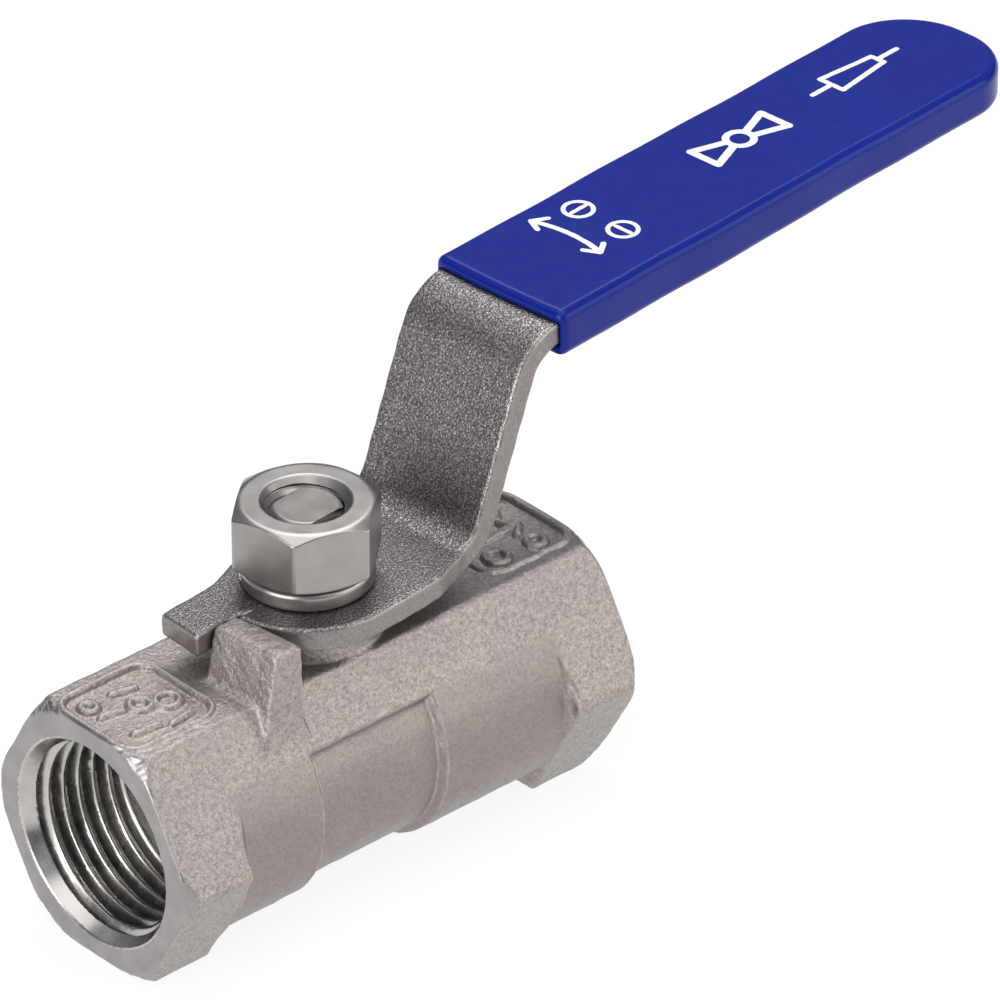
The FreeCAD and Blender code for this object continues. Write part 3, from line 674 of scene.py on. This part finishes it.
def maths(tree, operation, a, b=None):
    made = node(tree, "ShaderNodeMath", operation=operation)
    for socket, value in zip(made.inputs, (a, b)):
        if isinstance(value, (int, float)):
            socket.default_value = value
        elif value is not None:
            tree.links.new(value, socket)
    return made.outputs[0]


def tint(tree, amount, dark, light):
    made = node(tree, "ShaderNodeMix", data_type="RGBA")
    tree.links.new(amount, made.inputs[0])
    made.inputs[6].default_value = (*dark, 1)
    made.inputs[7].default_value = (*light, 1)
    return made.outputs[2]


def paint(tree, shader, amount, dark, light):
    tree.links.new(tint(tree, amount, dark, light), shader.inputs["Base Color"])


def edge_wear_and_highlight(tree, radius):
    """High on outer edges, lightened as real wear and as a painted highlight: how far the bevelled normal
    leans from the true one.
    """
    bevel = node(tree, "ShaderNodeBevel", samples=4)
    bevel.inputs["Radius"].default_value = radius
    geometry = node(tree, "ShaderNodeNewGeometry")
    dot = node(tree, "ShaderNodeVectorMath", operation="DOT_PRODUCT")
    tree.links.new(bevel.outputs[0], dot.inputs[0])
    tree.links.new(geometry.outputs["Normal"], dot.inputs[1])
    return spread(tree, dot.outputs["Value"], 0.995, 0.93)


def bump(tree, shader, layers):
    """Stacks (height, distance in metres, strength) layers of bump onto the shader."""
    last = None
    for height, distance, strength in layers:
        made = node(tree, "ShaderNodeBump")
        made.inputs["Distance"].default_value = distance
        made.inputs["Strength"].default_value = strength
        tree.links.new(height, made.inputs["Height"])
        if last is not None:
            tree.links.new(last, made.inputs["Normal"])
        last = made.outputs["Normal"]
    tree.links.new(last, shader.inputs["Normal"])


def barrel_mask(tree, place):
    """One on the round barrel between the hexagons, where the casting skin is smoother."""
    split = node(tree, "ShaderNodeSeparateXYZ")
    tree.links.new(place, split.inputs[0])
    x, y, z = split.outputs
    height = maths(tree, "MULTIPLY", z, 0.866)
    aside = maths(tree, "MULTIPLY", maths(tree, "ABSOLUTE", y), 0.5)
    lift = maths(tree, "SUBTRACT", height, aside)
    below = spread(tree, lift, 0.0012, 0.0004)
    after = spread(tree, x, -0.0193, -0.0187)
    before = spread(tree, x, 0.0219, 0.0213)
    return maths(tree, "MULTIPLY", below, maths(tree, "MULTIPLY", after, before))


def cast_steel():
    material, tree, shader = new_material("cast_steel_blasted")
    place = object_place(tree)
    smooth = barrel_mask(tree, place)
    grain = noise(tree, place, 5200, 2, 0.6)
    coarse = noise(tree, place, 2300, 3, 0.6)
    broad = noise(tree, place, 130, 3)
    mixed = maths(tree, "MULTIPLY_ADD", grain, 0.5)
    tree.links.new(maths(tree, "MULTIPLY", coarse, 0.5), mixed.node.inputs[2])
    rough_level = spread(tree, mixed, 0.36, 0.64)
    rough_skin = tint(tree, rough_level, (0.26, 0.236, 0.226), (0.47, 0.435, 0.415))
    smooth_level = spread(tree, mixed, 0.30, 0.70)
    smooth_skin = tint(tree, smooth_level, (0.25, 0.222, 0.214), (0.35, 0.314, 0.304))
    skin_mix = node(tree, "ShaderNodeMix", data_type="RGBA")
    tree.links.new(smooth, skin_mix.inputs[0])
    tree.links.new(rough_skin, skin_mix.inputs[6])
    tree.links.new(smooth_skin, skin_mix.inputs[7])
    cloud_mix = node(tree, "ShaderNodeMix", data_type="RGBA", blend_type="MULTIPLY")
    cloud_mix.inputs[0].default_value = 1.0
    tree.links.new(skin_mix.outputs[2], cloud_mix.inputs[6])
    cloud = tint(tree, spread(tree, broad, 0.35, 0.65), (0.93, 0.92, 0.93), (1.0, 0.985, 0.96))
    tree.links.new(cloud, cloud_mix.inputs[7])
    # outer edges lightened towards pale grey: partly real wear of the casting, partly a painted highlight
    # of the glints on its edges
    worn_and_highlit = node(tree, "ShaderNodeMix", data_type="RGBA")
    tree.links.new(maths(tree, "MULTIPLY", edge_wear_and_highlight(tree, 0.00035), 0.6), worn_and_highlit.inputs[0])
    tree.links.new(cloud_mix.outputs[2], worn_and_highlit.inputs[6])
    worn_and_highlit.inputs[7].default_value = (0.72, 0.69, 0.67, 1)
    tree.links.new(worn_and_highlit.outputs[2], shader.inputs["Base Color"])
    shader.inputs["Metallic"].default_value = 0.85
    tree.links.new(spread(tree, mixed, 0.3, 0.7, 0.56, 0.38), shader.inputs["Roughness"])
    height = maths(tree, "MULTIPLY", coarse, spread(tree, smooth, 0.0, 1.0, 1.0, 0.25))
    bump(tree, shader, [(height, 0.00018, 0.7), (grain, 0.00004, 0.5)])
    return material


def machined_steel(name, colour, rough, axis):
    """Turned steel: fine rings about the given axis."""
    material, tree, shader = new_material(name)
    place = object_place(tree)
    split = node(tree, "ShaderNodeSeparateXYZ")
    tree.links.new(place, split.inputs[0])
    parts = [split.outputs[i] for i in range(3)]
    others = [parts[i] for i in range(3) if i != axis]
    squares = [maths(tree, "POWER", other, 2.0) for other in others]
    radius = maths(tree, "SQRT", maths(tree, "ADD", *squares))
    join = node(tree, "ShaderNodeCombineXYZ")
    tree.links.new(radius, join.inputs[0])
    tree.links.new(parts[axis], join.inputs[1])
    rings = noise(tree, join.outputs[0], 9000, 2)
    smear = noise(tree, place, 420, 3)
    fine = noise(tree, place, 3000, 2)
    dark = tuple(c * 0.82 for c in colour)
    paint(tree, shader, spread(tree, smear, 0.35, 0.65), dark, colour)
    shader.inputs["Metallic"].default_value = 1.0
    patches = spread(tree, smear, 0.3, 0.7, rough - 0.05, rough + 0.06)
    level = maths(tree, "ADD", patches, spread(tree, rings, 0.3, 0.7, -0.03, 0.03))
    tree.links.new(level, shader.inputs["Roughness"])
    bump(tree, shader, [(rings, 0.00001, 0.25), (fine, 0.00001, 0.15)])
    return material


def polished_steel(name, colour, rough, wave):
    material, tree, shader = new_material(name)
    place = object_place(tree)
    broad = noise(tree, place, wave, 3)
    fine = noise(tree, place, 2500, 3)
    dark = tuple(c * 0.85 for c in colour)
    paint(tree, shader, spread(tree, broad, 0.35, 0.7), dark, colour)
    shader.inputs["Metallic"].default_value = 1.0
    tree.links.new(spread(tree, broad, 0.3, 0.7, rough, rough + 0.09), shader.inputs["Roughness"])
    bump(tree, shader, [(broad, 0.00004, 0.25), (fine, 0.00001, 0.2)])
    return material


def lever_steel():
    """Tumbled strip: dark and speckled on its faces, smoother on the sheared edge."""
    material, tree, shader = new_material("lever_steel_tumbled")
    place = object_place(tree)
    speckle = noise(tree, place, 6600, 2, 0.65)
    pits = noise(tree, place, 4000, 2, 0.6)
    broad = noise(tree, place, 110, 3)
    both = maths(tree, "MULTIPLY_ADD", speckle, 0.6)
    tree.links.new(maths(tree, "MULTIPLY", pits, 0.4), both.node.inputs[2])
    facing = node(tree, "ShaderNodeTexCoord").outputs["Normal"]
    turn = node(tree, "ShaderNodeVectorMath", operation="DOT_PRODUCT")
    tree.links.new(facing, turn.inputs[0])
    turn.inputs[1].default_value = (-math.sin(LEVER_TURN), math.cos(LEVER_TURN), 0)
    on_side = spread(tree, maths(tree, "ABSOLUTE", turn.outputs["Value"]), 0.55, 0.85)
    upright = node(tree, "ShaderNodeSeparateXYZ")
    tree.links.new(facing, upright.inputs[0])
    spot = node(tree, "ShaderNodeSeparateXYZ")
    tree.links.new(place, spot.inputs[0])
    on_rim = spread(tree, maths(tree, "ABSOLUTE", upright.outputs[2]), 0.6, 0.3)
    in_head = spread(tree, spot.outputs[0], 0.012, 0.009)
    sheared = maths(tree, "MAXIMUM", on_side, maths(tree, "MULTIPLY", on_rim, in_head))
    face = tint(tree, spread(tree, both, 0.47, 0.68), (0.10, 0.09, 0.092), (0.60, 0.56, 0.55))
    edge = tint(tree, spread(tree, both, 0.35, 0.68), (0.21, 0.19, 0.18), (0.34, 0.31, 0.30))
    skin_mix = node(tree, "ShaderNodeMix", data_type="RGBA")
    tree.links.new(sheared, skin_mix.inputs[0])
    tree.links.new(face, skin_mix.inputs[6])
    tree.links.new(edge, skin_mix.inputs[7])
    # outer edges lightened towards pale grey: partly real wear of the strip, partly a painted highlight
    # along the plate's edges
    worn_and_highlit = node(tree, "ShaderNodeMix", data_type="RGBA")
    tree.links.new(maths(tree, "MULTIPLY", edge_wear_and_highlight(tree, 0.0004), 0.8), worn_and_highlit.inputs[0])
    tree.links.new(skin_mix.outputs[2], worn_and_highlit.inputs[6])
    worn_and_highlit.inputs[7].default_value = (0.56, 0.52, 0.50, 1)
    tree.links.new(worn_and_highlit.outputs[2], shader.inputs["Base Color"])
    shader.inputs["Metallic"].default_value = 0.95
    level = spread(tree, both, 0.35, 0.65, 0.46, 0.28)
    patches = spread(tree, broad, 0.3, 0.7, -0.03, 0.05)
    tree.links.new(maths(tree, "ADD", level, patches), shader.inputs["Roughness"])
    height = maths(tree, "MULTIPLY", pits, spread(tree, sheared, 0.0, 1.0, 1.0, 0.3))
    bump(tree, shader, [(height, 0.00009, 0.8), (speckle, 0.00003, 0.6)])
    return material


def vinyl():
    material, tree, shader = new_material("sleeve_vinyl_blue")
    place = object_place(tree)
    broad = noise(tree, place, 45, 2)
    fine = noise(tree, place, 700, 3)
    paint(tree, shader, spread(tree, broad, 0.3, 0.7), (0.002, 0.012, 0.195), (0.003, 0.015, 0.22))
    shader.inputs["Metallic"].default_value = 0.0
    tree.links.new(spread(tree, fine, 0.3, 0.7, 0.17, 0.25), shader.inputs["Roughness"])
    shader.inputs["Specular IOR Level"].default_value = 0.2
    bump(tree, shader, [(broad, 0.0004, 0.12), (fine, 0.00004, 0.15)])
    return material


def print_ink():
    material, tree, shader = new_material("print_white")
    place = object_place(tree)
    fine = noise(tree, place, 1500, 3)
    paint(tree, shader, spread(tree, fine, 0.3, 0.7), (0.74, 0.76, 0.80), (0.86, 0.87, 0.90))
    tree.links.new(spread(tree, fine, 0.3, 0.7, 0.34, 0.46), shader.inputs["Roughness"])
    bump(tree, shader, [(fine, 0.00002, 0.2)])
    return material


def seat_plastic():
    material, tree, shader = new_material("seat_ptfe")
    place = object_place(tree)
    fine = noise(tree, place, 900, 3)
    paint(tree, shader, spread(tree, fine, 0.3, 0.7), (0.72, 0.71, 0.68), (0.82, 0.81, 0.79))
    tree.links.new(spread(tree, fine, 0.3, 0.7, 0.38, 0.5), shader.inputs["Roughness"])
    bump(tree, shader, [(fine, 0.00003, 0.2)])
    return material


CAST = cast_steel()
TURNED = machined_steel("machined_steel_turned", (0.36, 0.345, 0.34), 0.36, 0)
BORED = machined_steel("machined_steel_bore", (0.54, 0.525, 0.51), 0.25, 0)
NUT = polished_steel("nut_steel_polished", (0.38, 0.365, 0.355), 0.27, 300)
BALL = polished_steel("ball_steel_polished", (0.62, 0.61, 0.59), 0.07, 200)
STEM = machined_steel("stem_steel_turned", (0.29, 0.28, 0.27), 0.32, 2)
LEVER = lever_steel()
VINYL = vinyl()
INK = print_ink()
PTFE = seat_plastic()


# ------------------------------------------------------------------ the pieces
def build_body():
    mesh = carve("valve_body_cast", valve_body, (-27.3, -15.0, -13.2), (30.1, 15.0, 18.7), 0.19)
    faces = len(mesh.polygons)
    centre = np.empty(faces * 3, np.float32)
    mesh.polygons.foreach_get("center", centre)
    normal = np.empty(faces * 3, np.float32)
    mesh.polygons.foreach_get("normal", normal)
    centre = centre.reshape(-1, 3) / MM
    normal = normal.reshape(-1, 3)
    r = np.hypot(centre[:, 1], centre[:, 2])
    end = ((centre[:, 0] < INLET + 0.05) & (normal[:, 0] < -0.8)) | (
        (centre[:, 0] > OUTLET - 0.05) & (normal[:, 0] > 0.8)
    )
    outward = np.einsum("ij,ij->i", normal[:, 1:], centre[:, 1:]) / np.maximum(r, 0.1)
    end |= (centre[:, 0] < INLET + 1.5) & (normal[:, 0] < -0.55) & (r > 11.5)
    end |= (centre[:, 0] > OUTLET - 1.5) & (normal[:, 0] > 0.55) & (r > 11.5)
    in_bore = (r < 11.2) & (outward < 0.35) & ~end
    kind = np.zeros(faces, np.int32)
    kind[end] = 1
    kind[in_bore] = 2
    piece("valve_body_cast", mesh, "valve_body", "valve", (CAST, TURNED, BORED))
    mesh.polygons.foreach_set("material_index", kind)
    mesh.update()


def build_lever():
    mesh = carve("lever_plate", lever, (-15.0, -11.0, 14.8), (92.5, 18.0, 37.3), 0.2)
    piece("lever_plate", mesh, "lever", "handle", (LEVER,))


def ring_mark(u, v, centre, radius):
    return np.abs(np.hypot(u - centre[0], v - centre[1]) - radius)


def chain(u, v, points):
    """Distance in plan from a line through the points."""
    near = stroke(u, v, points[0], points[1])
    for a, b in zip(points[1:], points[2:]):
        near = np.minimum(near, stroke(u, v, a, b))
    return near


def print_plan(u, v):
    """The print on the grip: turn arrow, open and closed signs, valve and reducer symbols."""
    middle, radius, low, high = (23.5, 1.1), 14.2, math.radians(-15), math.radians(17)
    angle = np.clip(np.arctan2(v - middle[1], u - middle[0]), low, high)
    on_arc = (middle[0] + radius * np.cos(angle), middle[1] + radius * np.sin(angle))
    plan = np.hypot(u - on_arc[0], v - on_arc[1]) - 0.31
    for at, way in ((low, -1), (high, 1)):
        tip = Vector((middle[0] + radius * math.cos(at), middle[1] + radius * math.sin(at)))
        forward = Vector((-math.sin(at), math.cos(at))) * way
        side = Vector((forward.y, -forward.x))
        tip = tip + forward * 0.5
        left, right = tip - forward * 1.25 + side * 1.15, tip - forward * 1.25 - side * 1.15
        plan = np.minimum(plan, chain(u, v, (left, tip, right)) - 0.29)
    for centre, bar in (((41.6, 3.9), (1.0, 0)), ((41.7, -1.75), (0, 1.0))):
        plan = np.minimum(plan, ring_mark(u, v, centre, 1.45) - 0.24)
        a = (centre[0] - bar[0], centre[1] - bar[1])
        b = (centre[0] + bar[0], centre[1] + bar[1])
        plan = np.minimum(plan, stroke(u, v, a, b) - 0.24)
    cu, cv = 62.0, 1.5
    bow = [(cu + a * 5.1, cv + b * 1.8) for a, b in ((-1, -1), (-1, 1), (1, -1), (1, 1), (-1, -1))]
    plan = np.minimum(plan, chain(u, v, bow) - 0.42)
    disc = np.hypot(u - cu, v - cv)
    plan = np.maximum(np.minimum(plan, disc - 1.75), 1.0 - disc)
    ru, rv = 79.3, 1.9
    cup = [(ru + a, rv + b) for a, b in ((-3.4, -1.5), (-3.4, 1.5), (3.4, 0.8), (3.4, -0.8), (-3.4, -1.5))]
    plan = np.minimum(plan, chain(u, v, cup) - 0.3)
    for a, b in (((ru - 6.2, rv), (ru - 3.4, rv)), ((ru + 3.4, rv), (ru + 6.2, rv))):
        plan = np.minimum(plan, stroke(u, v, a, b) - 0.3)
    return plan


def grip_print(x, y, z):
    u, v = to_lever(x, y)
    return np.maximum(print_plan(u, v), np.abs(z - SLEEVE_TOP + 0.13) - 0.15)


def build_sleeve():
    mesh = carve("sleeve_shape", sleeve, (24.0, -8.5, 32.2), (94.5, 17.5, 38.5), 0.24)
    piece("grip_sleeve", mesh, "lever_sleeve", "handle", (VINYL,))
    mesh = carve("grip_print", grip_print, (34.0, -3.0, 37.4), (88.0, 14.0, 38.3), 0.1, 80000)
    piece("grip_print", mesh, "lever_sleeve", "handle", (INK,))


build_body()
build_lever()
build_sleeve()
# name, field, half-width and height range of its grid, step, most triangles, node, slot, material
HARDWARE = (
    ("hex_nut", nut, 8, (19.3, 26.9), 0.11, 120000, "stem_nut", "nut_steel", NUT),
    ("split_washer", spring_washer, 7, (17.3, 20.3), 0.11, 60000, "spring_washer", "nut_steel", NUT),
    ("stem_turned", stem, 6, (5.0, 26.3), 0.12, 90000, "stem", "machined_steel", STEM),
)
for name, field, half, (low, high), step, limit, replaced, slot, material in HARDWARE:
    mesh = carve(name, field, (-half, -half, low), (half, half, high), step, limit)
    piece(name, mesh, replaced, "handle", (material,))

KEPT = {
    "ball": BALL,
    "inlet_seat": PTFE,
    "outlet_seat": PTFE,
    "seat_retainer": STEM,
    "retainer_gasket": PTFE,
    "thrust_washer": PTFE,
    "packing_ring_lower": PTFE,
    "packing_ring_upper": PTFE,
    "packing_gland": STEM,
}
for name, material in KEPT.items():
    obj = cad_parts[name]
    obj.data.materials.clear()
    obj.data.materials.append(material)


# ------------------------------------------------------------------ floor, camera and light
def panel_light(name, place, aim, size, power, colour=(1, 1, 1)):
    data = bpy.data.lights.new(name, "AREA")
    data.shape = "RECTANGLE"
    data.size, data.size_y = size
    data.energy = power
    data.color = colour
    obj = bpy.data.objects.new(name, data)
    bpy.context.scene.collection.objects.link(obj)
    obj.location = Vector(place)
    obj.rotation_mode = "QUATERNION"
    obj.rotation_quaternion = (Vector(aim) - Vector(place)).to_track_quat("-Z", "Y")
    return obj


def floor():
    mesh = plain_mesh(
        "floor",
        np.array([(-900, -900, 0), (1500, -900, 0), (1500, 1500, 0), (-900, 1500, 0)], float)
        + np.array((0, 0, -12.62)),
        np.array([(0, 1, 2, 3)]),
    )
    obj = bpy.data.objects.new("floor", mesh)
    bpy.context.scene.collection.objects.link(obj)
    material, tree, shader = new_material("floor_white")
    place = object_place(tree)
    soft = noise(tree, place, 4, 2)
    paint(tree, shader, soft, (0.14, 0.14, 0.14), (0.16, 0.16, 0.16))
    shader.inputs["Roughness"].default_value = 0.9
    shader.inputs["Specular IOR Level"].default_value = 0.1
    shader.inputs["Emission Color"].default_value = (1, 1, 1, 1)
    shader.inputs["Emission Strength"].default_value = 0.87
    mesh.materials.append(material)


def camera():
    data = bpy.data.cameras.new("camera")
    data.lens = 335.49
    data.sensor_width = 36
    data.clip_start, data.clip_end = 0.05, 10
    obj = bpy.data.objects.new("camera", data)
    bpy.context.scene.collection.objects.link(obj)
    ahead = Vector((0.566055, 0.627773, -0.534306)).normalized()
    level = ahead.cross(Vector((0, 0, 1))).normalized()
    above = level.cross(ahead)
    roll = math.radians(-0.137)
    right = level * math.cos(roll) + above * math.sin(roll)
    up = right.cross(ahead)
    turn = Matrix((right, up, -ahead)).transposed()
    stand = Vector((-476.049, -554.808, 488.130)) * MM
    obj.matrix_world = Matrix.Translation(stand) @ turn.to_4x4()
    bpy.context.scene.camera = obj


def studio():
    world = bpy.data.worlds.new("studio")
    world.use_nodes = True
    tree = world.node_tree
    back = tree.nodes["Background"]
    place = node(tree, "ShaderNodeTexCoord").outputs["Generated"]
    split = node(tree, "ShaderNodeSeparateXYZ")
    tree.links.new(place, split.inputs[0])
    climb = spread(tree, split.outputs[2], 0.0, 0.55)
    shade = tint(tree, climb, (0.10, 0.10, 0.11), (0.80, 0.80, 0.82))
    tree.links.new(shade, back.inputs["Color"])
    back.inputs["Strength"].default_value = 0.5
    bpy.context.scene.world = world
    bpy.context.scene.view_settings.view_transform = "Standard"
    aim = (0.02, 0, 0.01)
    panel_light("above", (0.0, -0.08, 0.85), aim, (1.1, 1.1), 6.4)
    panel_light("right", (0.50, -0.70, 0.27), aim, (0.9, 0.5), 2.9, (1, 0.985, 0.97))
    panel_light("left", (-0.80, -0.10, 0.20), aim, (0.6, 0.5), 4.6)
    panel_light("behind", (0.38, 0.41, 0.78), aim, (0.5, 0.5), 2.4)


floor()
camera()
studio()
